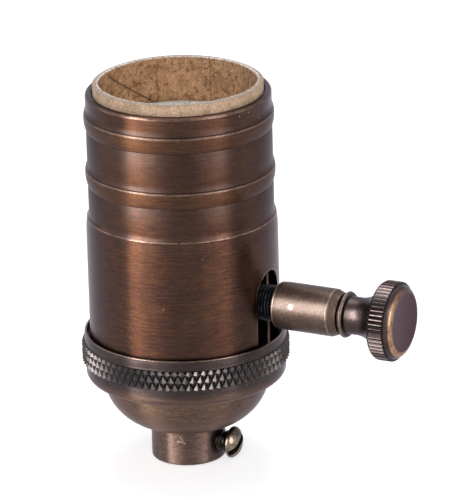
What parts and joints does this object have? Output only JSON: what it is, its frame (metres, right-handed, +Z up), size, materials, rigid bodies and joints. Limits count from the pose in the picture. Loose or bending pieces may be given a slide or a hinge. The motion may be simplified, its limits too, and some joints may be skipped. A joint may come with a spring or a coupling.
{
  "type": "turn knob lamp socket",
  "caption": "Round metal lamp socket with ringed shell, card liner, knurled cap, threaded neck with set screw, and a turn knob that switches the lamp on and off.",
  "frame": {"origin": "centre of the neck's end face, on the pipe thread's axis", "axes": "+Z up the socket to the lamp's opening, +X out along the turn knob's spindle"},
  "size_m": [0.0663, 0.0398, 0.0759],
  "materials": {
    "antique_bronze": "brushed, darkened and lacquered",
    "worn_bronze": "brushed, lightly darkened",
    "card": "kraft card",
    "fibre": "pressed fibre",
    "black_plastic": "moulded",
    "white_aluminium": "drawn, matt",
    "strip_brass": "rolled sheet",
    "spring_bronze": "rolled spring sheet",
    "screw_brass": "plain",
    "nickel": "nickel plated",
    "steel": "plain"
  },
  "bodies": {
    "socket": {"shell": "antique_bronze", "cap": "antique_bronze", "cap_disc": "fibre", "card_tube": "card", "switch_housing": "black_plastic", "upper_insulator": "black_plastic", "screw_shell": "white_aluminium", "assembly_rivets": "steel", "contact_tongue": "spring_bronze", "tongue_rivet": "screw_brass", "lamp_contact": "strip_brass", "line_contact": "strip_brass", "neutral_strap": "strip_brass", "line_screw": "screw_brass", "neutral_screw": "nickel", "sleeve": "worn_bronze", "set_screw": "worn_bronze"},
    "turn_knob": {"knob": "antique_bronze", "spindle": "steel", "rotor": "black_plastic", "rotor_band": "strip_brass", "spindle_clip": "steel"}
  },
  "joints": [
    {"name": "knob_turn", "type": "hinge", "parent": "socket", "child": "turn_knob", "pos_m": [0.03, 0, 0.03335], "axis": [1, 0, 0], "continuous": true}
  ]
}
